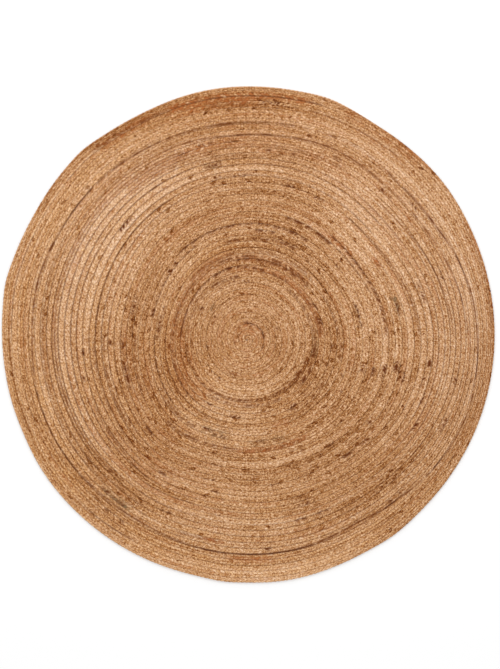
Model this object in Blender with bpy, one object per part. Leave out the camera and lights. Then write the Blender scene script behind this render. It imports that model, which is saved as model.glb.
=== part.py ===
"""A round braided jute rug, lying flat with its underside on the floor.

One flat three-strand braid is wound clockwise from the heart of the rug and sewn edge to
edge, so the whole rug is one piece of cloth. Its turns stand up as rounded ribs, its rings
bulge where the coil was pulled unevenly, and the braid's outer end tapers away at the rim.
Metres, +Z up, +Y towards the top of the rug as it is seen from above.
"""

import math

import bmesh
import bpy

# The rug and its braid.
RUG_RADIUS = 0.900  # a 180 cm rug, before its rim wanders in and out
TURNS = 43.8  # times that the braid goes round the heart
BRAID_PITCH = 0.0209  # width that each turn of the braid takes up
CREST_HEIGHT = 0.0090  # top of a turn above the floor
SEAM_HEIGHT = 0.0058  # top of the sewn seam between two turns
RIM_HEIGHT = 0.0046  # where the rug's edge stands out furthest
EDGE_ROUNDING = 0.0030  # how far the underside's edge lies in from the rim

# The coil as it was wound.
END_ANGLE = 54.0  # degrees, counter-clockwise from +X, of the braid's outer end
STEPS_PER_TURN = 60
STEPS = round(TURNS * STEPS_PER_TURN)
BRAID_STEPS = STEPS - STEPS_PER_TURN  # the braid's inner edge ends one turn early
TAPER_STEPS = 3  # the outer end narrows to nothing over these
LAST_TURN_SQUEEZE = 0.0087  # how much narrower the last turn has become at its end

# The heart of the coil sits off the middle of the rug; this dies away from it outwards.
HEART_SHIFT = (-0.005, -0.017)
HEART_REACH = 0.28
HEART_CALM = 0.15  # within this radius the bulges fade, so that the heart stays round

# Soft bulges of the rings, from uneven winding: where each is centred, how far it
# spreads, and how far it pushes the rings out (or in, below zero).
BULGES = (
    # angle, spread (degrees), radius, reach, push (metres)
    (0.0, 40.0, 0.800, 0.210, 0.066),
    (36.0, 16.0, 0.720, 0.250, -0.029),
    (162.0, 29.0, 0.410, 0.170, -0.035),
    (231.0, 12.0, 0.500, 0.130, 0.018),
    (228.0, 7.0, 0.740, 0.080, -0.010),
    (257.0, 11.0, 0.690, 0.110, -0.013),
    (308.0, 17.0, 0.700, 0.130, -0.026),
    (334.0, 31.0, 0.650, 0.330, 0.026),
)

# Flats and bumps of the rim.
RIM_BUMPS = (
    # angle, spread (degrees), push (metres)
    (38.0, 8.0, 0.0062),
    (72.0, 3.5, 0.0036),
    (117.0, 9.0, -0.0094),
    (132.0, 3.0, 0.0044),
    (151.0, 8.0, -0.0073),
    (168.0, 3.0, 0.0044),
    (188.0, 10.0, -0.0055),
    (204.0, 5.0, -0.0036),
    (264.0, 3.0, 0.0036),
    (279.0, 9.0, 0.0069),
    (306.0, 4.0, 0.0044),
)

# Powers of the radius by which the bulges die away and the rim's own shape takes over. The
# bulges die away gently, or the outermost turns would be squeezed into slivers.
BULGE_FADE = 4
RIM_FADE = 12

JUTE_COLOUR = (0.490, 0.251, 0.121, 1.0)
JUTE_ROUGHNESS = 0.88


def turned(degrees, centre):
    """The angle from centre, in degrees from -180 to 180."""
    return (degrees - centre + 180.0) % 360.0 - 180.0


def bell(distance, spread):
    """1 at no distance, falling softly to nothing past twice the spread."""
    return math.exp(-0.5 * (distance / spread) ** 2)


def pushed(radius, degrees):
    """How far the ring of this radius lies out from a true circle at this angle."""
    bulge = sum(
        push * bell(turned(degrees, at), spread) * bell(radius - middle, reach)
        for at, spread, middle, reach, push in BULGES
    )
    bulge *= 1.0 - bell(radius, HEART_CALM)
    rim = sum(push * bell(turned(degrees, at), spread) for at, spread, push in RIM_BUMPS)
    share = min(radius / RUG_RADIUS, 1.0)
    return bulge * (1.0 - share**BULGE_FADE) + rim * share**RIM_FADE


def seam_radius(step):
    """The radius of the seam line before its rings bulge: it grows by a pitch a turn."""
    radius = BRAID_PITCH * step / STEPS_PER_TURN
    over = (step - BRAID_STEPS) / STEPS_PER_TURN  # 0 to 1 along the last turn
    if over <= 0.0:
        return radius
    radius -= LAST_TURN_SQUEEZE * over
    left = min((STEPS - step) / TAPER_STEPS, 1.0)
    whole = 0.5 - 0.5 * math.cos(math.pi * left)
    inner = BRAID_PITCH * (step - STEPS_PER_TURN) / STEPS_PER_TURN
    return inner + (radius - inner) * whole


def place(radius, step):
    """The x and y of a point at this radius and this step along the coil."""
    degrees = END_ANGLE + 360.0 * (STEPS - step) / STEPS_PER_TURN
    angle = math.radians(degrees)
    out = radius + pushed(radius, degrees)
    shift_x, shift_y = (part * bell(radius, HEART_REACH) for part in HEART_SHIFT)
    return out * math.cos(angle) + shift_x, out * math.sin(angle) + shift_y


def wind_braid(mesh):
    """Winds a long grid, two faces wide, into the coil and welds its turns together."""
    bmesh.ops.create_grid(mesh, x_segments=BRAID_STEPS, y_segments=2, size=0.5)
    for vertex in mesh.verts:
        step = round((vertex.co.x + 0.5) * BRAID_STEPS)
        row = round((vertex.co.y + 0.5) * 2)
        inner = seam_radius(step) if step >= STEPS_PER_TURN else 0.0
        outer = seam_radius(step + STEPS_PER_TURN)
        crest = (seam_radius(step) + outer) / 2
        x, y = place((inner, crest, outer)[row], step)
        ended = step == BRAID_STEPS
        height = CREST_HEIGHT if row == 1 and not ended else SEAM_HEIGHT
        if row == 2 and step >= BRAID_STEPS - STEPS_PER_TURN or ended:
            height = RIM_HEIGHT
        vertex.co = (x, y, height)
    bmesh.ops.remove_doubles(mesh, verts=mesh.verts, dist=1e-5)
    bmesh.ops.holes_fill(mesh, edges=mesh.edges, sides=3)


def close_underside(mesh):
    """Draws the rim down and in to the floor, and fills it with one flat face."""
    rim = [edge for edge in mesh.edges if edge.is_boundary]
    made = bmesh.ops.extrude_edge_only(mesh, edges=rim)["geom"]
    for vertex in (item for item in made if isinstance(item, bmesh.types.BMVert)):
        radius = math.hypot(vertex.co.x, vertex.co.y)
        shrink = 1.0 - EDGE_ROUNDING / radius
        vertex.co.x *= shrink
        vertex.co.y *= shrink
        vertex.co.z = 0.0
    floor_edges = [item for item in made if isinstance(item, bmesh.types.BMEdge)]
    bmesh.ops.edgeloop_fill(mesh, edges=floor_edges)
    bmesh.ops.recalc_face_normals(mesh, faces=mesh.faces)


def centre_on_origin(mesh):
    """Moves the rug so that the middle of its outline's box is at x = 0, y = 0."""
    xs = [vertex.co.x for vertex in mesh.verts]
    ys = [vertex.co.y for vertex in mesh.verts]
    middle = ((min(xs) + max(xs)) / 2, (min(ys) + max(ys)) / 2, 0.0)
    bmesh.ops.translate(mesh, verts=mesh.verts, vec=[-value for value in middle])


def jute_material():
    material = bpy.data.materials.new("Natural jute")
    material.use_nodes = True
    shader = material.node_tree.nodes["Principled BSDF"]
    shader.inputs["Base Color"].default_value = JUTE_COLOUR
    shader.inputs["Roughness"].default_value = JUTE_ROUGHNESS
    shader.inputs["Metallic"].default_value = 0.0
    return material


def make_rug(collection):
    mesh = bmesh.new()
    wind_braid(mesh)
    close_underside(mesh)
    centre_on_origin(mesh)
    data = bpy.data.meshes.new("jute_rug")
    mesh.to_mesh(data)
    mesh.free()
    data.materials.append(jute_material())
    rug = bpy.data.objects.new("jute_rug", data)
    collection.objects.link(rug)
    return rug


def main():
    for thing in list(bpy.data.objects):
        bpy.data.objects.remove(thing)
    collection = bpy.data.collections.new("Round jute rug")
    bpy.context.scene.collection.children.link(collection)
    make_rug(collection)


main()
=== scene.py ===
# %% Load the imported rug
import math
from functools import partial

import bpy
import numpy as np
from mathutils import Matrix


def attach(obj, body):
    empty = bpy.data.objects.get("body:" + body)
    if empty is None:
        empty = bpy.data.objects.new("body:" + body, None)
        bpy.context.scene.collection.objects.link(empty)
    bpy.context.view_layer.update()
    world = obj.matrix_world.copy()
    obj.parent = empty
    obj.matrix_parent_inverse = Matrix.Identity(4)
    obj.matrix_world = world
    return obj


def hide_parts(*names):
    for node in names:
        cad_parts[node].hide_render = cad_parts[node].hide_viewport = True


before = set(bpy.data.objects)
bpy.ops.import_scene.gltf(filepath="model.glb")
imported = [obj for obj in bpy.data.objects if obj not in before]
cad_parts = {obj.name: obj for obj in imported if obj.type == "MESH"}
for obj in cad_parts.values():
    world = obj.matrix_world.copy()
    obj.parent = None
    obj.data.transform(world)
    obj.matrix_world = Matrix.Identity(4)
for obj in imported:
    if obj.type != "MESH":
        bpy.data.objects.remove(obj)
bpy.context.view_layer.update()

# %% [markdown]
# # A round rug braided from jute
#
# The real rug is one very long flat braid. Three strands of jute are plaited like hair, the
# braid is wound up on a table, and each turn is sewn to the one before it. The solid that was
# just loaded shows each turn as a plain rib. This lesson puts the braid itself in its place:
# every lobe where a strand comes up is geometry, and fibre and colour are one material.
#
# An Array modifier could copy a lobe, but here the lobes follow a wandering spiral and share
# their edges. So numpy works out all the points at once, as one long grid bent into the coil.

# %% The sizes of the rug and its braid, in metres
BRAID_PITCH = 0.0209  # width that each turn takes up
RUG_RADIUS = 0.900
TURNS = 43.8
PER_TURN = 60  # places along the braid are counted in steps from the heart
STEPS = round(TURNS * PER_TURN)
BRAID_STEPS = STEPS - PER_TURN  # the inner edge of the braid ends one turn early
END_ANGLE = 54.0  # degrees, where the outer end lies
TAPER_STEPS = 3  # the outer end narrows to nothing over these
LAST_TURN_SQUEEZE = 0.0087  # how much narrower the last turn has become at its end

CREST_HEIGHT = 0.0090
SEAM_HEIGHT = 0.0058
RIM_HEIGHT = 0.0046

print("steps along the braid:", BRAID_STEPS)

# %% [markdown]
# ## How the coil wanders
#
# No coil is a perfect spiral. The heart of this one sits a little off the middle, some rings
# bulge and the rim has flats and bumps. Each is a soft bell in angle and radius, in a short
# table, so that the braid wanders in the same way as the ribs of the solid do.

# %% Where the rings bulge
HEART_SHIFT = (-0.005, -0.017)
HEART_REACH = 0.28
HEART_CALM = 0.15  # within this radius the bulges fade, so that the heart stays round

BULGES = (
    # angle, spread (degrees), radius, reach, push (metres)
    (0, 40, 0.8, 0.21, 0.066),
    (36, 16, 0.72, 0.25, -0.029),
    (162, 29, 0.41, 0.17, -0.035),
    (231, 12, 0.5, 0.13, 0.018),
    (228, 7, 0.74, 0.08, -0.01),
    (257, 11, 0.69, 0.11, -0.013),
    (308, 17, 0.7, 0.13, -0.026),
    (334, 31, 0.65, 0.33, 0.026),
)
RIM_BUMPS = (
    # angle, spread (degrees), push (metres)
    (38, 8, 0.0062),
    (72, 3.5, 0.0036),
    (117, 9, -0.0094),
    (132, 3, 0.0044),
    (151, 8, -0.0073),
    (168, 3, 0.0044),
    (188, 10, -0.0055),
    (204, 5, -0.0036),
    (264, 3, 0.0036),
    (279, 9, 0.0069),
    (306, 4, 0.0044),
)
BULGE_FADE = 4  # powers of the radius by which the bulges die away
RIM_FADE = 12  # and the rim's own shape takes over


def turned(degrees, centre):
    """The angle from centre, in degrees from -180 to 180."""
    return (degrees - centre + 180.0) % 360.0 - 180.0


def bell(distance, spread):
    """1 at no distance, falling softly to nothing past twice the spread."""
    return np.exp(-0.5 * (distance / spread) ** 2)


def in_sectors(chart, degrees):
    """What the rows of a chart add up to at this angle."""
    return sum(push * bell(turned(degrees, at), spread) for at, spread, push in chart)


def in_zones(chart, degrees, out):
    """The same where each row also has its own place outwards, a radius or a turn."""
    return sum(
        push * bell(turned(degrees, at), spread) * bell(out - middle, reach)
        for at, spread, middle, reach, push in chart
    )


def pushed(radius, degrees):
    """How far the ring of this radius lies out from a true circle at this angle."""
    bulge = in_zones(BULGES, degrees, radius) * (1.0 - bell(radius, HEART_CALM))
    rim = in_sectors(RIM_BUMPS, degrees)
    share = np.minimum(radius / RUG_RADIUS, 1.0)
    return bulge * (1.0 - share**BULGE_FADE) + rim * share**RIM_FADE


# %% [markdown]
# ## The seam line
#
# The seam between two turns is one spiral. The outer edge of a turn is the inner edge of the
# next, so a single function of the place along the seam serves both, and neighbouring turns
# always meet. A little smooth noise is added to it: hand-sewn turns are never all as wide.

# %% The seam, and a point of the rug
SEAM_WAVES = (
    # distance between waves (steps), how far they move the seam (metres), seed
    (2.3, 0.00035, 11),
    (7.0, 0.00050, 12),
    (23.0, 0.00055, 13),
)
CALM_STEPS = 9.0  # over these the waves die away at the outer end


def drift(along, spacing, seed):
    """Smooth noise with a spread of about 1, with a new random value at each spacing."""
    along = np.maximum(along, 0.0) / spacing
    before = np.floor(along).astype(int)
    knots = np.random.default_rng(seed).standard_normal(int(before.max()) + 2)
    share = along - before
    share = share * share * (3.0 - 2.0 * share)
    return knots[before] * (1.0 - share) + knots[before + 1] * share


def waves_of(noise, *rows):
    """The sum of one kind of noise, from rows of spacing, strength and seed."""
    return sum(size * noise(spacing, seed) for spacing, size, seed in rows)


def unit(values):
    """The values, held between 0 and 1."""
    return np.clip(values, 0.0, 1.0)


def seam_radius(step):
    """The radius of the seam line before its rings bulge: it grows by a pitch a turn."""
    over = unit((step - BRAID_STEPS) / PER_TURN)
    radius = BRAID_PITCH * np.maximum(step, 0.0) / PER_TURN - LAST_TURN_SQUEEZE * over
    left = unit((STEPS - step) / TAPER_STEPS)
    whole = 0.5 - 0.5 * np.cos(np.pi * left)
    inner = BRAID_PITCH * np.maximum(step - PER_TURN, 0.0) / PER_TURN
    return np.where(over > 0.0, inner + (radius - inner) * whole, radius)


def uneven_seam(step):
    """The seam's radius with the small waves of hand sewing."""
    calm = unit(step / PER_TURN) * unit((STEPS - step) / CALM_STEPS)
    return seam_radius(step) + waves_of(partial(drift, step), *SEAM_WAVES) * calm


def place(radius, step):
    """The x and y of points at this radius and this step along the coil."""
    degrees = END_ANGLE + 360.0 * (STEPS - step) / PER_TURN
    angle = np.radians(degrees)
    out = radius + pushed(radius, degrees)
    shift_x, shift_y = (part * bell(radius, HEART_REACH) for part in HEART_SHIFT)
    return out * np.cos(angle) + shift_x, out * np.sin(angle) + shift_y


whole_steps = np.arange(BRAID_STEPS + 1)
rim_x, rim_y = place(seam_radius(whole_steps + PER_TURN), whole_steps)
MIDDLE_X = (rim_x.min() + rim_x.max()) / 2
MIDDLE_Y = (rim_y.min() + rim_y.max()) / 2
print("rug, mm:", round(np.ptp(rim_x) * 1000, 1), "x", round(np.ptp(rim_y) * 1000, 1))

# %% [markdown]
# ## The shape of a three-strand plait
#
# In a flat plait each strand swings from side to side in a sine wave, and rises and dips twice
# as often, so that it passes over one neighbour and under the other. With the three a third of
# a swing apart, the highest strand at any spot is seen. The strands are oval in section,
# because jute flattens as it is pulled tight.

# %% The plait's height at any point
STRANDS = 3
PLAIT_SAMPLES = 721  # places that are tried along a strand
LOBE = 0.0148  # from one lobe to the next along an edge of the braid
SWING = 0.0062  # how far a strand's middle goes to either side
RISE = 0.0021  # how far it goes up and down
STRAND_HALF_WIDTH = 0.0049
STRAND_HALF_THICK = 0.0024
HALF_WIDTH = BRAID_PITCH / 2
MID_HEIGHT = RISE + STRAND_HALF_THICK


def plait(lobes, across):
    """For one spot of the plait: the height over its middle, the strand on top, and which
    half swing of that strand it is. Lobes counts along the braid, across is -1 to 1."""
    best = (-MID_HEIGHT, 0, 0)
    for strand in range(STRANDS):
        ahead, here = strand / STRANDS, lobes / STRANDS
        swings = np.linspace(here - 0.5, here + 0.5, PLAIT_SAMPLES) + ahead
        phase = 2.0 * np.pi * swings
        along = (swings - ahead) * STRANDS * LOBE - lobes * LOBE
        aside = SWING * np.sin(phase) - across * HALF_WIDTH
        gap = (along**2 + aside**2) / STRAND_HALF_WIDTH**2
        top = RISE * np.sin(2.0 * phase) + STRAND_HALF_THICK * np.sqrt(np.maximum(1 - gap, 0))
        top[gap >= 1.0] = -MID_HEIGHT
        if top.max() > best[0]:
            best = (top.max(), strand, math.floor(2.0 * swings[top.argmax()]))
    return best


tops = [round(plait(lobes, 0.5)[0] * 1000, 1) for lobes in (0, 0.25, 0.5, 0.75)]
print("plait, mm over its middle:", tops)

# %% [markdown]
# ## One cell of the grid
#
# A lobe needs only a few points if they lie where its shape turns. Across the braid there are
# nine columns on top and two below. Along it there are four rows to a lobe, and each column
# is slid forward by its own amount, so that one row in four runs exactly along the crease
# between two lobes. The lobes of the other edge are the same, half a lobe further on.

# %% The cell's columns and heights
TOP_COLUMNS = (-1.0, -0.78, -0.5, -0.22, 0.0, 0.22, 0.5, 0.78, 1.0)
UNDER_COLUMN = 0.45
COLUMNS = TOP_COLUMNS + (UNDER_COLUMN, -UNDER_COLUMN)
ROWS = 4
HALF_LOBE = ROWS // 2  # rows by which the inner edge's lobes lie further on
SLIDES = {0.0: 0.685, 0.22: 0.775, 0.5: 0.94, 0.78: 1.17, 1.0: 1.24, UNDER_COLUMN: 1.56}
EVEN_SLIDE = 0.94
CREASE_DEPTH = 0.00025  # thread and shadow make a crease deeper than the strands alone
SEAM_FILL = 0.0007  # fibres bridge the seam
SEAM_PITS = (0.0006, 0.00021, 0.0, 0.00021)  # from a crease to the lobe's belly and on
UNDER_HEIGHTS = (0.0022, 0.0007, 0.0, 0.0007)


def lobe_row(row, across):
    """The row as its own lobe counts it, from the crease before that lobe."""
    return (row + HALF_LOBE * (np.asarray(across) < 0.0)) % ROWS


def in_crease(row, across):
    """Whether this point of the cell lies in a crease between two lobes."""
    return lobe_row(row, across) == 0 or across == 0.0 and row % HALF_LOBE == 1


def cell_height(row, column):
    """The height above the floor of one point of the cell."""
    across = COLUMNS[column]
    if column >= len(TOP_COLUMNS):
        return UNDER_HEIGHTS[lobe_row(row, across)]
    if abs(across) == 1.0:
        return SEAM_HEIGHT + SEAM_FILL - SEAM_PITS[lobe_row(row, across)]
    height = plait(row / ROWS + SLIDES[abs(across)], across)[0]
    return MID_HEIGHT + height - CREASE_DEPTH * in_crease(row, across)


CELL = np.array(
    [[cell_height(row, column) for column in range(len(COLUMNS))] for row in range(ROWS)]
)
CELL[:, : len(TOP_COLUMNS)] *= CREST_HEIGHT / CELL.max()
print("cell heights, mm:\n", (CELL * 1000).round(1))

# %% [markdown]
# ## The length of the braid
#
# Lobes are equally long wherever they lie, so they are spaced along the braid's real length
# and not by angle. The length of the crest is added up in small steps and then used backwards:
# it tells at which step a given lobe lies.

# %% Lobes counted along the braid
FIRST_STEP = -57.0  # the braid starts as a narrow tail, curled up in the heart
FINE_STEP = 0.25

fine_steps = np.arange(FIRST_STEP, BRAID_STEPS + FINE_STEP / 2, FINE_STEP)
crest_x, crest_y = place(
    (seam_radius(fine_steps) + seam_radius(fine_steps + PER_TURN)) / 2, fine_steps
)
crest_length = np.concatenate([[0.0], np.cumsum(np.hypot(np.diff(crest_x), np.diff(crest_y)))])
LOBES = round(crest_length[-1] / LOBE)
fine_lobes = crest_length * LOBES / crest_length[-1]


def step_at(lobes):
    """The step at which this lobe lies; it may be a fraction."""
    return np.interp(lobes, fine_lobes, fine_steps)


def lobe_at(step):
    """The lobe that lies at this step."""
    return np.interp(step, fine_steps, fine_lobes)


print("braid:", round(crest_length[-1], 1), "m,", LOBES, "lobes to an edge")

# %% [markdown]
# ## All the points of the braid
#
# Every row of the grid is placed in one go. A point's place along the braid picks the two
# seams there, its place across picks the radius between them, and the cell gives the height.
# Each lobe is a little taller or lower than the next, and slides a little, because no two are
# pulled equally tight.

# %% The grid of points
END_ROWS = 12  # the rows straighten over this many at both ends
LEAST_WIDTH = 0.0006  # of the narrow tail in the heart
SEAM_OVERLAP = 0.02  # neighbouring turns press into each other by this share
LOBE_SLIP = 0.10  # how far a lobe slides, as a share of its length
SLIP_SEEDS = (21, 22, 23)  # for the inner edge, the middle and the outer edge

rows = np.arange(LOBES * ROWS + 1)
row_lobes = rows / ROWS
slides = np.array([SLIDES[abs(across)] for across in COLUMNS]) - EVEN_SLIDE
ease = unit(np.minimum(rows, rows[-1] - rows) / END_ROWS)
side = np.sign(COLUMNS)
slip = np.stack([drift(row_lobes, 1.0, seed) for seed in SLIP_SEEDS], axis=1) * LOBE_SLIP
slip = slip[:, (side + 1).astype(int)]
lobes = np.clip(row_lobes[:, None] + (slides + slip) * ease[:, None], 0.0, LOBES)
steps = step_at(lobes)

inner = uneven_seam(steps)
outer = np.maximum(uneven_seam(steps + PER_TURN), inner + LEAST_WIDTH)
width = outer - inner
across = np.array(COLUMNS)
share = (across * np.where(np.abs(across) == 1.0, 1.0 + SEAM_OVERLAP, 1.0) + 1.0) / 2
radius = inner + width * share
print("braid width, mm:", np.percentile(width * 1000, (1, 50, 99)).round(1))

# %% Heights, and the rug's edge
SPARE = 2  # lobes kept before the first and after the last
LOBE_UNEVEN = 0.00035  # how much taller or lower a lobe is than the next
MOST_UNEVEN = 1.5  # times that
UNEVEN_SEED = 31
FULL_WIDTH = 0.0125  # a narrower braid is thinner too
THINNEST = 0.45
RIM_STEPS = 2.0  # the last turn becomes the rim over these
SCALLOP = (-0.0008, 0.0001, 0.0005, 0.0001)  # each lobe rounds out the rug's edge

own_row = lobe_row(rows[:, None], across)
height = CELL[rows % ROWS]
lobe_number = (rows[:, None] - HALF_LOBE * (side < 0)) // ROWS + SPARE
uneven = np.random.default_rng(UNEVEN_SEED).standard_normal((2, LOBES + 2 * SPARE + 1))
uneven = uneven.clip(-MOST_UNEVEN, MOST_UNEVEN) * LOBE_UNEVEN
raised = uneven[(side > 0).astype(int), lobe_number] * (own_row != 0)
is_top = np.arange(len(COLUMNS)) < len(TOP_COLUMNS)
height = height + raised * (is_top & (np.abs(across) < 1.0) & (across != 0.0))

last_turn = unit((steps - (BRAID_STEPS - PER_TURN)) / RIM_STEPS)
at_rim = last_turn * (across == 1.0)
radius = radius + at_rim * (np.array(SCALLOP)[own_row] - width * SEAM_OVERLAP / 2)
height = height + at_rim * (RIM_HEIGHT - SEAM_HEIGHT)

height = height * np.clip(width / FULL_WIDTH, THINNEST, 1.0)
x, y = place(radius, steps)
print("lobe heights vary by, mm:", (uneven.std() * 1000).round(2))

# %% [markdown]
# ## Thin dark lines and flecks
#
# Here and there a seam has sunk, or a brown bundle runs along the edge of a turn. From above
# these are thin dark lines and short flecks. The brown bundles are the jute's own colour; the
# dark of sunk seams, of the deep groove and of the zones of dark seams is painted shade. They are
# charted: each place on the coil is an angle and a number of turns from the heart. Where a line
# runs, the braid also sinks a little, the most along the one deep groove.

# %% The chart of lines
START_ANGLE = 342.0  # degrees, where each turn of the coil begins; angles run down from here

LINES = (
    # strength, then degrees and turns from the heart, place by place
    (0.55, 0, 2.15, 30, 2.13, 60, 2.08, 101, 1.97), (0.5, 328, 3.14, 342, 3.15),
    (0.5, 70, 1.7, 90, 1.7), (0.5, 88, 2.2, 107, 2.2), (0.45, 116, 1.6, 130, 1.6),
    (0.45, 128, 2.2, 142, 2.2), (0.4, 188, 1.6, 200, 1.6), (0.35, 240, 6.3, 262, 6.3),
    (0.9, -18, 10.5, 4, 10.5), (0.45, 4, 10.4, 50, 10.4), (0.6, 98, 10.2, 125, 10.4),
    (0.38, 125, 10.3, 180, 10.3, 190, 10.5, 225, 10.6), (0.55, 225, 10.6, 342, 10.6),
    (0.45, 0, 11.5, 50, 11.5, 60, 11.2, 75, 11.3), (0.6, 75, 11.3, 105, 11.9, 120, 11.8),
    (0.45, 105, 11.7, 180, 11.7), (0.45, 235, 11.4, 290, 11.6, 300, 11.7),
    (0.7, 318, 11.8, 342, 11.8), (0.5, 40, 12.8, 100, 12.8),
    (0.5, 40, 13.4, 95, 13.4, 130, 13.3, 180, 13.3, 200, 13.5, 228, 13.9),
    (0.45, 0, 14.3, 30, 14.3), (0.28, 40, 14.4, 100, 14.4), (0.45, 100, 14.2, 135, 14.2),
    (0.4, 300, 14.3, 310, 14.6, 330, 14.6), (0.4, -15, 14.7, -5, 14.7),
    (0.5, 60, 16.6, 75, 16.6, 83, 16.3, 103, 16.3), (0.5, 160, 16.2, 182, 16.3),
    (0.45, 180, 16.8, 221, 16.7), (0.4, 210, 17.4, 240, 17.4), (0.45, 120, 17.9, 170, 17.9),
    (0.6, 58, 18.8, 130, 18.8), (0.5, 226, 19.4, 265, 19.4), (0.35, 265, 19.5, 300, 19.6),
    (0.65, 48, 20.8, 73, 20.8), (0.28, 20, 21, 48, 21), (0.4, 180, 20.2, 210, 20.6),
    (0.6, 0, 21.7, 50, 22), (0.6, 180, 22.3, 206, 22.3), (0.5, 0, 26.8, 50, 26),
    (0.28, 40, 27.1, 100, 27.1), (0.3, 120, 26.7, 180, 26.7), (0.55, 180, 25.4, 215, 25.4),
    (0.4, 180, 27, 225, 27), (0.35, 40, 28.9, 100, 28.9), (0.3, 30, 29.8, 130, 29.8),
    (0.3, 70, 30.5, 110, 30.5), (0.5, 203, 29.1, 222, 29.1, 235, 29.8),
    (0.4, 235, 30.9, 260, 30.6), (0.45, 0, 32.6, 45, 31.3), (0.38, 100, 31.3, 130, 31.3),
    (0.38, 60, 32.3, 130, 32.3), (0.38, 110, 33.2, 180, 33.2), (0.55, 180, 33.2, 230, 33.2),
    (0.4, 235, 32.7, 250, 32.7, 260, 32),
    (0.65, 0, 35.5, 15, 34.8, 30, 34.4, 50, 34.2, 65, 34.5, 80, 34.1),
    (0.65, 80, 34.1, 95, 33.9, 110, 34.4, 130, 34.3, 145, 34.5),
    (0.4, 110, 35.3, 205, 35.3, 215, 35.6, 230, 35.2, 240, 35.7), (0.35, 210, 34.5, 240, 34.5),
    (0.6, 250, 36.1, 262, 36.1), (0.45, 50, 39.5, 100, 39.5), (0.75, 72, 41, 90, 40.8, 108, 40.9),
    (0.35, 108, 40.7, 130, 40.6, 180, 40.7), (0.55, 108, 41, 130, 41), (0.4, 0, 41.2, 28, 41.2),
    (0.4, 180, 41.1, 205, 41.1), (0.6, 225, 41, 242, 40.4),
)  # fmt: skip
print("lines:", len(LINES))

# %% The chart of the deep groove, the flecks and the dark seams
GROOVE = (
    # degrees, turns from the heart
    (-18, 38.5), (0, 37.6), (10, 37.4), (20, 36.9), (30, 36.3), (45, 36.1), (60, 36.7),
    (75, 36.3), (90, 36.1), (105, 36.1), (125, 36.4), (140, 36.6), (155, 36.9), (165, 37.1),
    (180, 37), (195, 37.5), (205, 37.8), (220, 37.5), (240, 37.2), (262, 37.9), (285, 37.7),
    (300, 37.3), (310, 37.9), (320, 38.6), (330, 39.2), (342, 39.5),
)  # fmt: skip
FLECKS = (
    # degrees, turns from the heart, length (degrees), strength
    (20, 4.7, 5, 0.7), (147, 6.3, 5, 0.6), (193, 6.7, 8, 0.6), (203, 6.7, 5, 0.5),
    (235, 8, 4, 0.5), (11, 9.4, 3, 0.6), (54, 9.3, 4, 0.7), (66, 9.2, 4, 0.7),
    (93, 9.2, 10, 0.6), (106, 9.5, 7, 0.7), (120, 9.2, 4, 0.7), (147, 9.2, 5, 0.7),
    (12, 11.9, 6, 0.7), (24, 12.1, 8, 0.7), (240, 12.9, 5, 0.7), (-7, 13.2, 5, 0.6),
    (225, 14.3, 6, 0.6), (261, 13.7, 8, 0.7), (302, 13.9, 9, 0.7), (175, 16.2, 12, 0.8),
    (81, 17.8, 11, 0.6), (11, 18.1, 12, 0.9), (136, 18.2, 11, 0.8), (166, 17.9, 4, 0.8),
    (38, 19.2, 3, 0.7), (165, 21.3, 9, 0.7), (247, 17, 7, 0.7), (254, 17.6, 7, 0.7),
    (338, 16.8, 4, 0.8), (328, 17.8, 4, 0.7), (-16, 18.5, 5, 1), (316, 20.8, 4, 0.8),
    (293, 21.4, 6, 0.7), (-15, 21.8, 6, 1.4), (179, 20.8, 4, 0.7), (198, 22.2, 6, 0.9),
    (277, 18, 6, 0.5), (286, 18.2, 5, 0.5), (10, 24.2, 5, 0.6), (29, 24.7, 3, 0.6),
    (224, 22.9, 5, 0.7), (256, 22.7, 5, 0.7), (307, 22.9, 5, 0.9), (325, 24.5, 3, 0.8),
    (63, 25.8, 5, 0.7), (75, 26, 5, 0.7), (93, 27, 5, 0.7), (101, 27.3, 3, 0.7),
    (255, 25.6, 8, 0.7), (280, 25.9, 3, 0.7), (303, 25.5, 3, 0.7), (318, 26.3, 5, 0.8),
    (238, 27.5, 3, 0.7), (258, 27.7, 3, 0.7), (14, 28.6, 7, 0.7), (138, 28.5, 6, 0.8),
    (102, 29.3, 6, 0.8), (-10, 28.6, 4, 1.1), (289, 30.6, 6, 0.6), (331, 31.2, 5, 0.9),
    (81, 31.4, 12, 0.6), (17, 32.9, 3, 0.7), (46, 33.3, 4, 0.8), (64, 33.3, 4, 0.8),
    (95, 32.9, 4, 0.5), (103, 33.2, 5, 0.5), (110, 32.8, 4, 0.5), (286, 33, 4, 0.6),
    (293, 33, 4, 0.6), (245, 33.6, 3, 0.7), (-12, 33.7, 3, 0.7), (38, 35.3, 3, 0.8),
    (335, 35.6, 4, 0.9), (230, 36.4, 8, 0.7), (84, 39.7, 5, 1), (234, 38.9, 7, 0.6),
    (295, 38.6, 3, 0.7), (328, 41, 3, 0.7), (138, 37.2, 2, 0.7), (275, 37, 2, 0.7),
    (186, 28.7, 2, 0.7), (195, 29.3, 2, 0.7), (183, 24.3, 2, 0.8), (215, 29, 4, 0.6),
    (-16, 20.2, 4, 0.8), (-12, 23.5, 4, 1.1), (-13, 24.2, 4, 1), (-15, 25, 4, 1),
    (-15, 28.3, 3, 0.9), (340, 30.1, 4, 0.8), (310, 26.2, 5, 0.9), (312, 37.4, 6, 0.7),
)  # fmt: skip
SEAM_ZONES = (
    # degrees, spread, turns from the heart, spread, strength: where every seam is darkened, as
    # painted shade
    (200, 30, 30, 6, 0.6),
    (350, 28, 33, 5, 0.42),
    (285, 25, 35, 5, 0.28),
    (130, 30, 30, 4, 0.4),
    (230, 30, 14, 3, 0.32),
    (100, 40, 14, 2.5, 0.25),
)
print("flecks:", len(FLECKS), "zones of dark seams:", len(SEAM_ZONES))

# %% Each point's place on the charts
CHART_ASIDE = 0.163  # turns
CHART_SCALE = 1.0048


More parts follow.
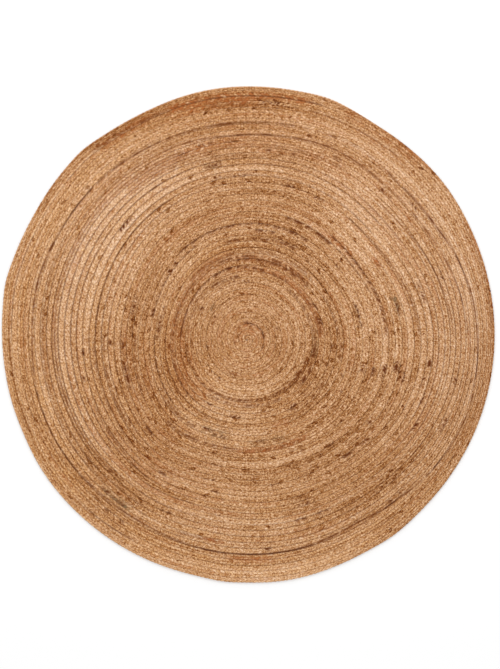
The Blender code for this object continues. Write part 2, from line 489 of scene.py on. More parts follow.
def charted(turns, degrees):
    """Turns from the heart as the charts count them: from a middle a little to the left."""
    return (turns + CHART_ASIDE * np.cos(np.radians(degrees))) / CHART_SCALE


at_turn = np.floor(steps / PER_TURN)
at_degrees = START_ANGLE - 360.0 * (steps / PER_TURN - at_turn)
at_turn = charted(at_turn + share, at_degrees)
from_seam = share - np.round(share)


def traced(path, spread, soft):
    """How much a line through these places covers each point, from 0 to 1. Spread is half
    its width in turns, and its ends fade over soft degrees."""
    degrees, turns = np.array(path, dtype=float).T
    away = at_turn - np.interp(at_degrees, degrees, turns)
    ends = np.minimum(at_degrees - degrees[0], degrees[-1] - at_degrees)
    return bell(away, spread) * unit(ends / soft + 0.5)


print("turns from the heart:", at_turn.min().round(2), "to", at_turn.max().round(2))

# %% [markdown]
# ## Lines that come and go
#
# No line is equally dark all along. Far out a line fades in and out softly, like beads on a
# thread. Nearer to the heart it is broken into dots, lobe by lobe, because there it is one
# dark strand that shows only where it comes up.

# %% Beads and dots along the braid
BEAD_MEAN = 0.88
BEAD_RANGE = (0.15, 1.60)
BEAD_WAVES = (
    # spacing (lobes), strength, seed
    (1.3, 0.28, 24),
    (30, 0.2, 26),
)
DOT_MEAN = 0.60
DOT_MOST = 1.40
DOT_WAVE = (0.35, 0.95, 25)

row_noise = partial(drift, row_lobes)
beads = (BEAD_MEAN + waves_of(row_noise, *BEAD_WAVES)).clip(*BEAD_RANGE)[:, None]
dots = (DOT_MEAN + waves_of(row_noise, DOT_WAVE)).clip(0.0, DOT_MOST)[:, None]
print("beads:", np.percentile(beads, (5, 50, 95)).round(2))
print("dots:", np.percentile(dots, (5, 50, 95)).round(2))

# %% How dark each point is
LINE_STRENGTH = 1.05
LINE_SPREAD = 0.11  # half the width of a line, in turns
LINE_END = 3.0  # degrees over which the end of a line fades
BROKEN_WITHIN = 24.0  # turns from the heart within which a line is broken into dots
BROKEN_SPREAD = 0.17
BROKEN_LEAST = 0.20
BROKEN_GAIN = 1.05
GROOVE_STRENGTH = 0.75
GROOVE_SPREAD = 0.13
FLECK_STRENGTH = 1.15
FLECK_SPREAD = 0.18
FLECK_END = 1.0


def line_cover(places):
    path = np.reshape(places, (-1, 2))
    spread = BROKEN_SPREAD if path[0, 1] < BROKEN_WITHIN else LINE_SPREAD
    return traced(path, spread, LINE_END)


def fleck_cover(degrees, turns, length):
    ends = ((degrees - length / 2, turns), (degrees + length / 2, turns))
    return traced(ends, FLECK_SPREAD, FLECK_END)


# Lines darken the colour: partly brown bundles of the jute, partly painted shade at sunk seams.
in_line = LINE_STRENGTH * sum(strength * line_cover(places) for strength, *places in LINES)
in_line *= np.where(at_turn < BROKEN_WITHIN, BROKEN_LEAST + BROKEN_GAIN * dots, beads)
in_groove = traced(GROOVE, GROOVE_SPREAD, LINE_END)
# The deep groove is darkened in colour as painted shade, and it also sinks below.
in_line += GROOVE_STRENGTH * in_groove * beads
in_flecks = sum(strength * fleck_cover(*where) for *where, strength in FLECKS)
in_line += FLECK_STRENGTH * dots * in_flecks
# Every seam in these zones is darkened: painted shade between turns.
painted_seam_shade = in_zones(SEAM_ZONES, at_degrees, at_turn) * bell(from_seam, LINE_SPREAD)
in_line = unit(in_line + painted_seam_shade * beads) * is_top
print("share of points in a line:", (in_line > 0.3).mean().round(3))

# %% [markdown]
# ## Paler and darker arcs
#
# Each seam, and the middle of each turn, runs a little darker or paler for a stretch, and
# these long thin arcs make a coiled rug look wound. They are smooth noise along the coil, the
# same on both sides of a seam.

# %% Arcs along the seams and the middle of the braid
ARCS = (
    # spacing (steps), strength
    (45, 0.042),
    (14, 0.045),
    (3, 0.03),
)
ARC_SPREAD = 0.11  # in turns
ARC_DARKER = 1.5  # dark arcs are stronger than pale ones by this
ARCS_FULL = 6.0  # turns from the heart; within this the arcs are weaker
ARCS_LEAST = 0.6
SEAM_SEED = 71  # and the next ones
MIDDLE_SEED = 81


def arc_noise(along, first_seed):
    waves = [(*arc, seed) for seed, arc in enumerate(ARCS, first_seed)]
    noise = waves_of(partial(drift, along + PER_TURN), *waves)
    return np.where(noise < 0.0, ARC_DARKER * noise, noise)


seam_here = steps + PER_TURN * (share > 0.5)
arcs = arc_noise(seam_here, SEAM_SEED) * bell(from_seam, ARC_SPREAD)
arcs += arc_noise(steps, MIDDLE_SEED) * bell(share - 0.5, ARC_SPREAD)
arcs *= is_top * np.clip(at_turn / ARCS_FULL, ARCS_LEAST, 1.0)
print("arcs:", np.percentile(arcs, (1, 25, 75, 99)).round(3))

# %% The points as they are
LINE_SINK = 0.0005  # how far a line sinks
GROOVE_SINK = 0.0012  # how much further the deep groove does
SINKS_ABOVE = SEAM_HEIGHT - 0.002  # the thin ends of the braid don't sink

sink = LINE_SINK * in_line + GROOVE_SINK * in_groove * is_top
height -= sink * (height > SINKS_ABOVE)
points = np.stack([x - MIDDLE_X, y - MIDDLE_Y, height], axis=2)
print("points:", points.shape, "lowest and highest:", points.min((0, 1)), points.max((0, 1)))

# %% [markdown]
# ## Cutting the grid into triangles
#
# Each square of the grid is cut along one diagonal. Along the middle of the braid, where one
# strand slips under the next, the cut follows the low ground. Elsewhere it takes the shorter
# way. The pattern repeats, so it is worked out once, and so is the lobe that each triangle
# belongs to.

# %% The triangles of one cell
RING = len(COLUMNS)


def cell_point(row, column):
    """A flat drawing of the cell: place along and across in metres, and height."""
    column = column % RING
    along = (row / ROWS + SLIDES[abs(COLUMNS[column])]) * LOBE
    return np.array((along, COLUMNS[column] * HALF_WIDTH, CELL[row % ROWS, column]))


def cut_square(row, column):
    """The two triangles of a square, as (row, column) corners."""
    a, b = (row, column), (row, column + 1)
    c, d = (row + 1, column + 1), (row + 1, column)
    ac, bd = (np.array((cell_point(*p), cell_point(*q))) for p, q in ((a, c), (b, d)))
    if COLUMNS[column] == 0.0 or COLUMNS[(column + 1) % RING] == 0.0:
        along_ac = ac[:, 2].sum() < bd[:, 2].sum()
    else:
        along_ac = np.linalg.norm(ac[0] - ac[1]) < np.linalg.norm(bd[0] - bd[1])
    return ((a, c, b), (a, d, c)) if along_ac else ((a, d, b), (b, d, c))


squares = [cut_square(row, column) for row in range(ROWS) for column in range(RING)]
cell_triangles = np.array(squares).reshape(-1, 3, 2)
print("triangles to a lobe of each edge:", len(cell_triangles))

# %% The lobe and strand of each triangle


def lobe_of(triangle):
    """(edge, lobe number) of a triangle: edge is 1 for the outer edge and 0 for the inner."""
    middle = np.mean([cell_point(*corner) for corner in triangle], axis=0)
    first_column = triangle[:, 1].min()
    if first_column >= len(TOP_COLUMNS) - 1:  # the underside, by its own creases
        outer_edge = int(triangle[:, 1].mean() < RING - 1.5)
        row = triangle[:, 0].min()
        return outer_edge, (row if outer_edge else row - HALF_LOBE) // ROWS
    _, strand, half_swing = plait(middle[0] / LOBE, middle[1] / HALF_WIDTH)
    if half_swing % 2 == 0:
        return 1, STRANDS * half_swing // 2 - strand
    return 0, 2 + STRANDS * (half_swing - 1) // 2 - strand


cell_lobes = np.array([lobe_of(triangle) for triangle in cell_triangles])
print("lobes that one cell touches:", sorted({tuple(map(int, pair)) for pair in cell_lobes}))

# %% [markdown]
# ## Colour, strand by strand
#
# Jute isn't dyed here, so its colour changes along each strand as new bundles of fibre are
# laid in: mostly tan, with runs of brown and russet. A bundle shows only where its strand
# comes up, so a dark one gives a fleck on every third lobe. So the colour noise runs along the
# three strands, and not over the surface.

# %% Where each lobe lies
lobe_numbers = np.arange(-SPARE, LOBES + SPARE + 1)
APEX = np.array([[0.25], [0.75]])  # of the inner and the outer edge's lobes
lobe_places = lobe_numbers + APEX - EVEN_SLIDE
lobe_steps = step_at(lobe_places)
lobe_degrees = (END_ANGLE + 360.0 * (STEPS - lobe_steps) / PER_TURN) % 360.0
lobe_turns = np.floor(lobe_steps / PER_TURN) + APEX
lobe_strands = np.stack([(2 - lobe_numbers) % STRANDS, -lobe_numbers % STRANDS])
print("lobes:", lobe_places.shape, "outermost turn:", lobe_turns.max())

# %% Noise along the strands
AHEAD = 10.0  # lobes, so that no place is below zero


def strand_noise(spacing, seed):
    """One value for each lobe, from smooth noise that runs along its own strand."""
    along = lobe_places + AHEAD
    by_strand = np.stack([drift(along, spacing, 10 * seed + i) for i in range(STRANDS)])
    return np.take_along_axis(by_strand, lobe_strands[None], axis=0)[0]


def edge_noise(spacing, seed):
    """The same, but running along each edge of the braid, for stripes that follow a turn."""
    along = lobe_places + AHEAD
    return np.stack([drift(along[i], spacing, 10 * seed + i) for i in range(2)])


print("noise along the strands, spread:", strand_noise(2.0, 41).std().round(2))

# %% The charts of tone
STRAND_TONES = (
    # spacing (lobes), strength, seed, along the strands
    (2, 0.03, 41),
    (7, 0.015, 42),
    (40, 0.012, 43),
)
EDGE_TONES = (
    # spacing (lobes), strength, seed, along the edges of the braid
    (130, 0.05, 52),
    (22, 0.035, 53),
    (5, 0.015, 54),
)
SECTOR_TONES = (
    # angle, spread (degrees), how much paler
    (18, 22, 0.055),
    (135, 20, 0.04),
    (212, 22, -0.05),
    (315, 24, -0.07),
)
RING_TONES = (
    # turns from the heart, spread (turns), how much paler
    (1.5, 2.5, -0.095),
    (13.5, 2.2, -0.07),
    (24, 2.5, -0.025),
    (36, 2.5, 0.03),
    (41, 2, 0.045),
)
TONE_ZONES = (
    # angle, spread (degrees), turns from the heart, spread (turns), how much paler
    (270, 40, 2, 3, 0.09), (250, 28, 11.5, 1.8, 0.15), (265, 25, 15.5, 1.5, 0.07),
    (350, 14, 9.5, 2.5, -0.1), (8, 12, 15, 1.5, -0.13), (60, 35, 18.3, 1.4, -0.1),
    (90, 22, 24.5, 2, -0.12), (150, 22, 30, 4.5, 0.14), (200, 15, 35.5, 2, 0.15),
    (205, 15, 30.5, 1.5, 0.07), (50, 12, 30.5, 1.5, 0.11), (118, 14, 31.5, 2, 0.09),
    (352, 14, 33, 1.5, 0.09), (110, 22, 41, 1.8, -0.14), (265, 30, 36, 2.5, 0.07),
    (280, 16, 41.5, 1.5, 0.09), (90, 14, 39, 1.2, -0.13), (10, 12, 16.3, 1.3, 0.11),
    (54, 20, 21, 1.4, 0.08), (60, 16, 24, 1.2, -0.09), (15, 22, 4, 3, -0.09),
    (345, 16, 30.5, 1.4, 0.13), (350, 12, 33, 1.2, -0.1), (10, 12, 36.5, 1.2, 0.06),
    (232, 14, 10.5, 3, 0.11), (160, 18, 20.5, 1.8, -0.11), (130, 20, 23, 1.8, -0.07),
    (50, 14, 27, 1.3, 0.11), (92, 12, 27, 1.3, 0.1), (250, 12, 18, 1.5, 0.08),
    (290, 12, 21, 1.4, 0.09), (90, 12, 30, 1.2, -0.09), (290, 12, 24, 1.3, -0.08),
    (230, 12, 24, 1.3, -0.08), (230, 12, 33, 1.2, -0.08), (310, 14, 33, 1.2, -0.08),
    (100, 14, 36, 1.2, -0.09), (180, 45, 7, 2, -0.07),
)  # fmt: skip
print("zones of tone:", len(TONE_ZONES))

# %% The tone and the gold of each lobe
MID_TONE = 0.5
LOBE_TONE = 0.032  # how much each lobe differs from the next
LOBE_TONE_SEED = 51
GOLD_MEAN = 0.05
STRAND_GOLD = (4.0, 0.20, 55)
EDGE_GOLD = (40.0, 0.12, 56)
GOLD_SECTORS = (
    # angle, spread (degrees), how much more golden
    (12, 40, -0.4),
    (105, 25, 0.12),
    (205, 32, 0.35),
    (290, 25, 0.15),
)
GOLD_RINGS = (
    # turns from the heart, spread (turns), how much more golden
    (0, 7, -0.3),
    (14, 3, 0.15),
    (20, 4, -0.15),
    (41, 3, 0.2),
)


def in_rings(chart):
    return sum(push * bell(lobe_turns - turn, spread) for turn, spread, push in chart)


chart_turns = charted(lobe_turns, lobe_degrees)
broad = waves_of(edge_noise, *EDGE_TONES) + in_sectors(SECTOR_TONES, lobe_degrees)
broad += in_rings(RING_TONES) + in_zones(TONE_ZONES, lobe_degrees, chart_turns)
by_lobe = np.random.default_rng(LOBE_TONE_SEED).standard_normal(broad.shape)
tone = MID_TONE + waves_of(strand_noise, *STRAND_TONES) + LOBE_TONE * by_lobe + broad

gold = GOLD_MEAN + waves_of(strand_noise, STRAND_GOLD) + waves_of(edge_noise, EDGE_GOLD)
gold = unit(gold + in_sectors(GOLD_SECTORS, lobe_degrees) + in_rings(GOLD_RINGS))
print("tone:", np.percentile(tone, (1, 25, 50, 75, 99)).round(2))
print("gold:", np.percentile(gold, (1, 25, 50, 75, 99)).round(2))

# %% [markdown]
# ## The marks of this rug
#
# The eye knows this rug by its larger marks: dark bands where a brown bundle runs for a metre
# or more, and single flecks. They are charted below: from one angle to another, at so
# many turns from the heart.

# %% The chart of marks
MARKS = (
    # from, to (degrees), turn, half width (turns), dark, russet, grey
    (0, 140, 1.8, 0.3, 0.25, 0.1, 0), (30, 170, 1, 0.9, 0.12, 0.2, 0),
    (80, 100, 7.2, 0.3, 0.1, 0.4, 0), (131, 145, 7.5, 0.3, 0.35, 0.1, 0.5),
    (265, 280, 3, 0.5, 0.1, 0.4, 0), (0, 120, 11.5, 0.4, 0.2, 0.3, 0),
    (225, 342, 11.3, 0.5, 0.2, 0.1, 0), (-18, 8, 10.6, 0.3, 0.25, 0, 0.2),
    (40, 180, 13.3, 0.4, 0.18, 0.3, 0), (165, 235, 12.3, 1.6, 0.22, 0.25, 0),
    (100, 135, 14.3, 0.3, 0.15, 0.3, 0), (165, 182, 16.3, 0.3, 0.25, 0, 0.1),
    (243, 258, 17.3, 0.5, 0.4, 0, 0.4), (270, 290, 18.1, 0.5, 0.3, 0, 0.2),
    (285, 295, 16, 0.5, 0, 0.3, 0), (4, 16, 18, 0.2, 0.5, 0, 0.2),
    (265, 300, 19.5, 0.3, 0.1, 0.4, 0), (0, 40, 19.5, 0.6, -0.2, 0, 0),
    (90, 120, 19.5, 0.6, -0.2, 0, 0), (0, 132, 21.9, 0.4, 0.22, 0.1, 0),
    (37, 50, 22, 0.3, 0.2, 0.4, 0), (343, 348, 21.4, 0.3, 0.6, 0, 0.2),
    (195, 200, 22.2, 0.2, 0.5, 0, 0.1), (180, 235, 21.5, 1.6, 0.15, 0.1, 0),
    (8, 14, 24.2, 0.4, 0.35, 0, 0.6), (28, 31, 24.7, 0.3, 0.2, 0.7, 0),
    (30, 60, 24, 1, -0.22, 0, 0), (90, 200, 24, 1, -0.12, 0, 0),
    (235, 300, 27.4, 0.3, -0.2, 0, 0), (99, 105, 29.3, 0.3, 0.22, 0, 0.3),
    (60, 130, 32.3, 0.6, 0.12, 0.2, 0), (92, 112, 32.9, 0.4, 0.2, 0.25, 0),
    (0, 145, 34.4, 0.4, 0.18, 0.1, 0), (226, 235, 36.4, 0.3, 0.3, 0, 0.7),
    (257, 262, 36, 0.3, 0.2, 0.5, 0), (265, 275, 38.6, 0.3, 0.1, 0.5, 0),
    (88, 105, 39.7, 0.4, 0.15, 0.6, 0), (105, 128, 40.8, 0.5, 0.22, 0.5, 0),
    (45, 66, 41.8, 0.8, 0.35, 0.25, 0), (108, 150, 42.4, 0.6, 0.3, 0.1, 0),
    (75, 110, 40.9, 0.4, 0.15, 0.6, 0), (0, 28, 41.2, 0.8, 0.2, 0.1, 0),
    (330, 360, 41, 1.5, 0.15, 0.1, 0),
)  # fmt: skip
print("marks:", len(MARKS))

# %% Where the marks lie
SOFT_END = 2.5  # degrees over which a mark fades at its ends


def marked(start, end, turn, half_width):
    """How much each lobe is covered by a mark, from 0 to 1."""
    half = (end - start) / 2
    away = turned(lobe_degrees, start + half)
    return unit((half - np.abs(away)) / SOFT_END + 0.5) * bell(chart_turns - turn, half_width)


covers = [marked(*mark[:4]) for mark in MARKS]
dark, russet, grey = (
    sum(mark[column] * cover for mark, cover in zip(MARKS, covers)) for column in (4, 5, 6)
)
print("lobes in a dark mark:", (dark > 0.1).mean().round(3))

# %% Dark marks and flecks
BUNDLE_MEAN = 0.75  # a dark run still has pale strands in it
BUNDLE_WAVE = (4.0, 0.75, 61)
DARK_RANGE = (0.1, 2.0)
DARK_TONE = 0.37
FLECK_WAVE = (1.3, 1.0, 62)
FLECK_LEVEL = 1.75  # noise above this is a fleck
FLECK_BIAS = 3.5  # there are more flecks where the tone is dark
FLECK_EDGE = 0.3
FLECK_TONE = 0.28
HEART_EVEN = 0.5  # the heart is this much more even in colour
HEART_TURNS = 6.0

bundles = BUNDLE_MEAN + waves_of(strand_noise, BUNDLE_WAVE)
tone -= DARK_TONE * np.where(dark > 0.0, dark * bundles.clip(*DARK_RANGE), dark)
flecks = waves_of(strand_noise, FLECK_WAVE) - FLECK_LEVEL - FLECK_BIAS * broad
tone -= FLECK_TONE * unit(flecks / FLECK_EDGE)
calm_heart = 1.0 - HEART_EVEN * bell(lobe_turns, HEART_TURNS)
tone = unit(MID_TONE + (tone - MID_TONE) * calm_heart)
print("tone:", np.percentile(tone, (1, 5, 25, 50, 75, 95, 99)).round(2))

# %% Russet and grey
RUSSET_RANGE = (0.2, 1.6)
RED_LEVEL = 0.55  # noise above this is a reddish run
RED_MOST = 0.8
RED_STRENGTH = 0.22
RED_MEAN = 0.9
RED_LOBES_MOST = 1.8

red_runs = (waves_of(edge_noise, (18.0, 1.0, 63)) - RED_LEVEL).clip(0.0, RED_MOST)
red_lobes = (RED_MEAN + waves_of(strand_noise, (2.0, 0.8, 64))).clip(0.0, RED_LOBES_MOST)
in_bundle = bundles.clip(*RUSSET_RANGE)
russet = unit(russet * in_bundle + RED_STRENGTH * red_runs * red_lobes)
grey = unit(grey * in_bundle)
print("russet lobes:", (russet > 0.4).mean().round(3), "grey:", (grey > 0.4).mean().round(4))

# %% [markdown]
# ## The jute
#
# One material serves the whole braid. Each lobe brings its own tone; a colour ramp turns that
# into jute, from dark brown through tan to straw. Long thin noise, turned to lie along the
# strands, gives the fibres, both as fine streaks of colour and as a bump. Creases are painted
# darker, as painted shade. Jute has a faint sheen, so a little is set too.

# %% The colours


def from_srgb(red, green, blue):
    """A colour as a screen shows it, 0 to 255, as the light that Blender works with."""
    parts = np.array((red, green, blue)) / 255
    light = np.where(parts <= 0.04045, parts / 12.92, ((parts + 0.055) / 1.055) ** 2.4)
    return (*light.tolist(), 1.0)


JUTE_TONES = (
    # place on the ramp, colour
    (0.00, from_srgb(90, 36, 0)),
    (0.22, from_srgb(148, 88, 28)),
    (0.50, from_srgb(200, 153, 104)),
    (0.78, from_srgb(226, 184, 145)),
    (1.00, from_srgb(245, 216, 187)),
)
TINTS = (
    # what a lobe or point brings, how it blends, colour
    ("gold", "MULTIPLY", from_srgb(255, 247, 226)),
    ("russet", "MIX", from_srgb(168, 98, 48)),
    ("grey", "MIX", from_srgb(122, 102, 74)),
    # the next tint darkens the creases between lobes: painted shade
    ("painted_crease_shade", "MULTIPLY", from_srgb(172, 106, 40)),
    # the next tint is the dark of lines: brown bundles, and painted shade at sunk seams, the deep
    # groove and dark seams
    ("line", "MIX", from_srgb(98, 44, 6)),
)
print("middle of the ramp:", np.round(JUTE_TONES[2][1], 3))

# %% Helpers for nodes


def set_inputs(node, values):
    for name, value in values.items():
        node.inputs[name].default_value = value


def new_material(name, values):
    """A new material and its shader, with these values on the shader's own sockets."""
    material = bpy.data.materials.new(name)
    material.use_nodes = True
    shader = material.node_tree.nodes["Principled BSDF"]
    set_inputs(shader, values)
    return material, shader


def add_node(tree, kind, where, **settings):
    """A new node at a place in the editor, with its properties set by name."""
    node = tree.nodes.new(kind)
    node.location = where
    for name, value in settings.items():
        setattr(node, name, value)
    return node


def feed(tree, socket, value):
    """Joins another node's socket to this one, or sets it to a plain value."""
    if isinstance(value, bpy.types.NodeSocket):
        tree.links.new(value, socket)
    else:
        socket.default_value = value


def add_math(tree, where, operation, *values):
    node = add_node(tree, "ShaderNodeMath", where, operation=operation)
    for socket, value in zip(node.inputs, values):
        feed(tree, socket, value)
    return node.outputs[0]


def add_mix(tree, where, blend, factor, first, second):
    mix = add_node(tree, "ShaderNodeMix", where, data_type="RGBA", blend_type=blend)
    for index, value in ((0, factor), (6, first), (7, second)):  # those for colours
        feed(tree, mix.inputs[index], value)
    return mix.outputs[2]


def add_noise(tree, row, vector, length, width, detail):
    """Noise in long thin shreds of about this length and width, in metres."""
    stretch = add_node(tree, "ShaderNodeMapping", (-940, row))
    set_inputs(stretch, {"Scale": (1.0 / length, 1.0 / width, 1.0)})
    noise = add_node(tree, "ShaderNodeTexNoise", (-760, row), noise_dimensions="2D")
    set_inputs(noise, {"Scale": 1.0, "Detail": detail})
    feed(tree, stretch.inputs[0], vector)
    feed(tree, noise.inputs["Vector"], stretch.outputs[0])
    return noise.outputs["Fac"]


# %% The fibres
FIBRE_ANGLE = 42.0  # degrees between the strands and the braid
FIBRE = (0.0060, 0.00045, 2.0)  # length, width (metres), detail
YARN = (0.0070, 0.0016, 1.0)
STREAK = (0.0170, 0.0028, 1.0)  # streaks follow the braid, not the strands
STRENGTHS = (0.80, 0.60, 1.45)  # of streak, fibre and yarn
TONE_SHIFT = -0.007


def add_fibres(tree):
    """The finest noise, for the bump, and the tone that all three noises add together."""
    braid = add_node(tree, "ShaderNodeUVMap", (-1500, -300), uv_map="Braid").outputs[0]
    mirror = add_node(tree, "ShaderNodeVectorMath", (-1300, -300), operation="ABSOLUTE")
    turn = add_node(tree, "ShaderNodeMapping", (-1120, -300))
    set_inputs(turn, {"Rotation": (0.0, 0.0, math.radians(-FIBRE_ANGLE))})
    feed(tree, mirror.inputs[0], braid)
    feed(tree, turn.inputs[0], mirror.outputs[0])
    streak = add_noise(tree, -940, braid, *STREAK)
    fibre = add_noise(tree, -300, turn.outputs[0], *FIBRE)
    yarn = add_noise(tree, -620, turn.outputs[0], *YARN)
    level = TONE_SHIFT - sum(STRENGTHS) / 2  # because each noise is a half on average
    for noise, strength, row in zip((streak, fibre, yarn), STRENGTHS, (-940, -300, -620)):
        level = add_math(tree, (-560, row), "MULTIPLY_ADD", noise, strength, level)
    return fibre, level


# %% The material
JUTE_VALUES = {
    "Roughness": 0.82,
    "Sheen Weight": 0.05,
    "Sheen Roughness": 0.45,
    "Specular IOR Level": 0.15,
}
BUMP_VALUES = {"Strength": 0.6, "Distance": 0.0003}


def add_colour(tree, level):
    """The colour of the jute, from the noise and from what each lobe and point brings."""
    brings = {}
    for i, name in enumerate(("tone", "arc", *(tint[0] for tint in TINTS))):
        node = add_node(tree, "ShaderNodeAttribute", (-1120, 500 - 170 * i), attribute_name=name)
        brings[name] = node.outputs["Fac"]
    own_tone = add_math(tree, (-760, 400), "ADD", brings["tone"], brings["arc"])
    ramp = add_node(tree, "ShaderNodeValToRGB", (-380, 300))
    feed(tree, ramp.inputs[0], add_math(tree, (-560, 300), "ADD", own_tone, level))
    elements = ramp.color_ramp.elements
    elements.remove(elements[1])
    for i, (position, light) in enumerate(JUTE_TONES):
        element = elements[0] if i == 0 else elements.new(position)
        element.position = position
        element.color = light
    colour = ramp.outputs[0]
    for i, (name, blend, tint) in enumerate(TINTS):
        colour = add_mix(tree, (-80 + 180 * i, 300), blend, brings[name], colour, tint)
    return colour


def make_jute():
    material, shader = new_material("Natural jute", JUTE_VALUES)
    tree = material.node_tree
    fibre, level = add_fibres(tree)
    bump = add_node(tree, "ShaderNodeBump", (820, -200))
    set_inputs(bump, BUMP_VALUES)
    feed(tree, bump.inputs["Height"], fibre)
    feed(tree, shader.inputs["Normal"], bump.outputs[0])
    feed(tree, shader.inputs["Base Color"], add_colour(tree, level))
    shader.location = (1000, 200)
    tree.nodes["Material Output"].location = (1280, 200)
    return material


jute = make_jute()
print("material:", jute.name, "with", len(jute.node_tree.nodes), "nodes")

# %% [markdown]
# ## The runs of the braid
#
# The braid is over 120 m long, a lot for one mesh. It is cut into runs, each a closed body
# of its own. A cut goes straight across the braid, and doesn't show.

# %% The ends of a run, and the shade of its creases
CAP = [(RING - 1, c, c + 1) for c in range(4)] + [(RING - 2, 4, RING - 1)]
CAP += [(RING - 2, c, c + 1) for c in range(4, 8)]  # triangles that close an end
# how much the colour of the creases between lobes is darkened: painted shade
CREASE_SHADE = 0.42

shades = [[in_crease(row, across) for across in COLUMNS] for row in range(ROWS)]
painted_crease_shade = CREASE_SHADE * np.array(shades)[rows % ROWS]
print("points in a crease:", (painted_crease_shade > 0.0).mean().round(3))

# %% The flat map of each run, in strips
BAKE_ROW = 0.0268  # height of a strip, in metres
BAKE_GAP = 2.5  # lobes left free beside the strips, because the rows are slid
BAKE_START = 1.0  # lobes of that which lie before the strips
UNDER_SHARE = 0.20  # the underside gets this share of its width
CAP_ROW = 0.008  # strip for the triangles that close the ends
CAP_SIZE = 0.005
CAP_GAP = 0.002
CAP_CORNERS = ((0.0, 0.0), (CAP_SIZE, 0.0), (0.0, CAP_SIZE))


def map_across(around):
    """Height on the flat map of a place round the braid."""
    top = np.minimum(around + 1.0, 2.0)
    return HALF_WIDTH * (top + UNDER_SHARE * np.maximum(around - 1.0, 0.0))


def flat_map(lobes_here, around):
    """The run cut into straight strips that lie one above the other. Both are arrays by
    cell, triangle and corner: lobes from the start of the run, and place round the braid."""
    count = len(around)
    per_strip = math.ceil(math.sqrt(count * BAKE_ROW / LOBE))
    strips = math.ceil(count / per_strip)
    side = max((per_strip + BAKE_GAP) * LOBE, strips * BAKE_ROW + CAP_ROW)
    strip = (np.arange(count) // per_strip)[:, None, None]
    along = (lobes_here - strip * per_strip + BAKE_START) * LOBE
    up = strip * BAKE_ROW + map_across(around)
    strip_uv = np.stack([along, up], axis=-1).reshape(-1, 2)
    caps = np.arange(2 * len(CAP)) * (CAP_SIZE + CAP_GAP)
    cap_starts = np.stack([caps, np.full_like(caps, strips * BAKE_ROW)], axis=1)
    cap_uv = (cap_starts[:, None] + np.array(CAP_CORNERS)).reshape(-1, 2)
    return np.concatenate([strip_uv, cap_uv]) / side


print("width of the braid on the flat map, mm:", round(map_across(3.0) * 1000, 1))

# %% One run of the braid as a mesh
# Where each column lies round the braid, from -1 to 1 over the top and on to 3 underneath.
AROUND = np.array(TOP_COLUMNS + (1.55, 2.45, 3.0))
BY_LOBE = {"tone": tone, "gold": gold, "russet": russet, "grey": grey}
BY_POINT = {"painted_crease_shade": painted_crease_shade, "line": in_line, "arc": arcs}


def lobes_of_run(first_cell, last_cell):
    """The edge and the lobe of every triangle of a run, those of the two ends last."""
    cells = np.arange(first_cell, last_cell)
    lobe = (cell_lobes[:, 1] + cells[:, None]).ravel()
    lobe = np.concatenate([lobe, np.repeat((first_cell, last_cell), len(CAP))])
    edge = np.concatenate([np.tile(cell_lobes[:, 0], len(cells)), np.ones(2 * len(CAP), int)])
    return edge, (lobe + SPARE).clip(0, LOBES + 2 * SPARE)


def add_values(mesh, domain, values_by_name, chosen):
    for name, values in values_by_name.items():
        data = mesh.attributes.new(name, "FLOAT", domain).data
        data.foreach_set("value", values[chosen].ravel().astype(np.float32))


def add_object(name, data):
    """A new object in the scene."""
    thing = bpy.data.objects.new(name, data)
    bpy.context.scene.collection.objects.link(thing)
    return thing


def make_run(number, first_cell, last_cell):
    """One run of the braid, from one cell to another."""
    count = last_cell - first_cell
    rows_here = slice(first_cell * ROWS, last_cell * ROWS + 1)
    corners = cell_triangles[None].repeat(count, axis=0)
    corners[..., 0] += np.arange(count)[:, None, None] * ROWS
    row, column = corners[..., 0], corners[..., 1]
    faces = (row * RING + column % RING).reshape(-1, 3)
    ends = (np.array(CAP), np.array(CAP)[:, ::-1] + count * ROWS * RING)
    mesh = bpy.data.meshes.new(f"braid_run_{number}")
    vertices = points[rows_here].reshape(-1, 3)
    mesh.from_pydata(vertices, [], np.concatenate([faces, *ends]), shade_flat=False)
    add_values(mesh, "FACE", BY_LOBE, lobes_of_run(first_cell, last_cell))
    add_values(mesh, "POINT", BY_POINT, rows_here)

    lobes_along = lobes[row + first_cell * ROWS, column % RING]
    around = AROUND[column]
    braid_uv = np.stack([lobes_along * LOBE, around * HALF_WIDTH], axis=-1).reshape(-1, 2)
    braid_uv = np.concatenate([braid_uv, np.zeros((2 * len(CAP) * 3, 2))])
    bake_uv = flat_map(lobes_along - first_cell, around)
    for name, values in (("Braid", braid_uv), ("OFBake", bake_uv)):
        mesh.uv_layers.new(name=name).data.foreach_set("uv", values.ravel().astype(np.float32))
    mesh.materials.append(jute)
    return add_object(mesh.name, mesh)


# %% All the runs
RUN_TURNS = (6.0, 10.5, 15.0, 19.0, 22.5, 25.5, 28.5, 33.0, 37.0, 40.5)  # where runs meet

run_cells = [0] + [round(float(lobe_at(turn * PER_TURN))) for turn in RUN_TURNS] + [LOBES]
runs = [make_run(i, *pair) for i, pair in enumerate(zip(run_cells, run_cells[1:]), 1)]
for run, cells in zip(runs, np.diff(run_cells)):
    print(run.name, len(run.data.polygons), "triangles,", round(cells * LOBE, 1), "m")

# %% [markdown]
# ## Handing the pieces to the frame
#
# Each run rides on the rug's only body and stands for the ribbed solid, which is then hidden.

# %% Frame calls
for run, cells in zip(runs, np.diff(run_cells)):
    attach(run, "root")
    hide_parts("jute_rug")

# %% [markdown]
# ## Floor, light and camera
#
# The rug is seen from straight above, on white, in soft light that comes a little more from
# the top. A large pale floor catches almost no shadow, because the rug is so flat.

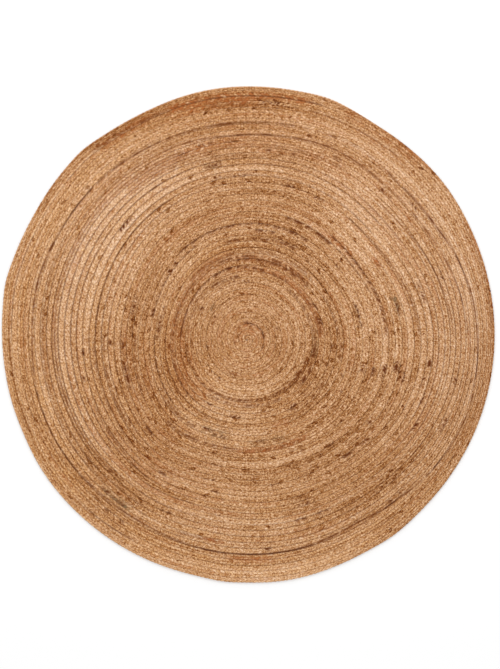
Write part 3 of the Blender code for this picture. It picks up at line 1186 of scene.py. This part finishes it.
# %% Camera
LENS = 85.0
FRAME_HEIGHT = 2.443  # metres of floor over the long side of the picture
AIM_X = 0.0057
SENSOR = 36.0

camera_data = bpy.data.cameras.new("Camera")
camera_data.lens = LENS
camera_data.sensor_width = SENSOR
camera_data.clip_end = 50.0
camera = add_object("Camera", camera_data)
camera.location = (AIM_X, 0.0, FRAME_HEIGHT * LENS / SENSOR)
bpy.context.scene.camera = camera
print("camera height:", round(camera.location.z, 2), "m")

# %% Floor and light
FLOOR_HALF = 15.0
FLOOR_DROP = 0.0003  # the floor lies this far under the rug
FLOOR_VALUES = {
    "Base Color": (0.9, 0.9, 0.9, 1.0),
    "Roughness": 0.9,
    "Specular IOR Level": 0.0,
}
LIGHT_SIZE = (3.0, 2.0)
LIGHT_POWER = 60.0  # watts
LIGHT_PLACE = (0.0, 3.2, 3.4)
LIGHT_TILT = -43.0  # degrees
SKY_VALUES = {"Color": (1.0, 1.0, 1.0, 1.0), "Strength": 1.0}


def make_floor():
    signs = ((-1, -1), (1, -1), (1, 1), (-1, 1))
    corners = [(FLOOR_HALF * x, FLOOR_HALF * y, -FLOOR_DROP) for x, y in signs]
    mesh = bpy.data.meshes.new("floor")
    mesh.from_pydata(corners, [], [(0, 1, 2, 3)])
    mesh.materials.append(new_material("Pale floor", FLOOR_VALUES)[0])
    add_object("floor", mesh)


def make_light():
    data = bpy.data.lights.new("soft_box", "AREA")
    data.shape = "RECTANGLE"
    data.size, data.size_y = LIGHT_SIZE
    data.energy = LIGHT_POWER
    light = add_object("soft_box", data)
    light.location = LIGHT_PLACE
    light.rotation_euler = (math.radians(LIGHT_TILT), 0.0, 0.0)


def make_sky():
    world = bpy.data.worlds.new("Soft sky")
    bpy.context.scene.world = world
    world.use_nodes = True
    set_inputs(world.node_tree.nodes["Background"], SKY_VALUES)


make_floor()
make_light()
make_sky()
bpy.context.scene.view_settings.view_transform = "Standard"
print("floor, m across:", 2 * FLOOR_HALF, "light, watts:", LIGHT_POWER)
